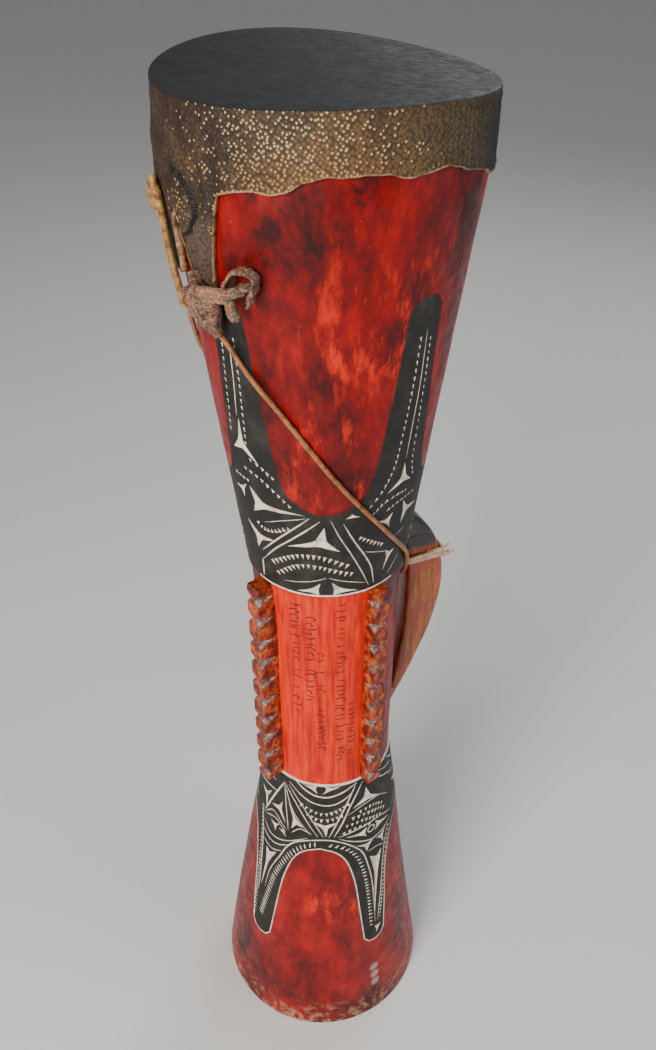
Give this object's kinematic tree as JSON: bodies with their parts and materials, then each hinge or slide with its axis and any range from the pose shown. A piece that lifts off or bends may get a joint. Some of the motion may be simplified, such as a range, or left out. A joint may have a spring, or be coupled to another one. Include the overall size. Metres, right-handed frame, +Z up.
{
  "type": "ceremonial hourglass hand drum",
  "caption": "Carved wooden hourglass hand drum with an integral handle and notched ribs, a dried-skin head tied in a knot, and a cane strap; stands on its open foot.",
  "frame": {"origin": "centre of the open foot, at the level the drum stands on", "axes": "+Z up along the drum's axis towards the skin head, +X through the middle of the handle; the front panel between the two ribs faces 120 degrees clockwise from +X seen from above"},
  "size_m": [0.1451, 0.1405, 0.6227],
  "materials": {
    "painted_wood": "carved wood painted red and black with lime in the incisions, worn",
    "lizard_skin": "dried scaly lizard skin, stretched",
    "dried_skin": "dried wrinkled skin",
    "cane": "split cane, smooth",
    "fibre": "twisted plant fibre"
  },
  "bodies": {
    "root": {"drum_body": "painted_wood", "skin_head": "lizard_skin", "skin_knot": "dried_skin", "cane_strap": "cane", "cane_loop": "cane", "handle_lashing": "fibre"}
  },
  "joints": []
}
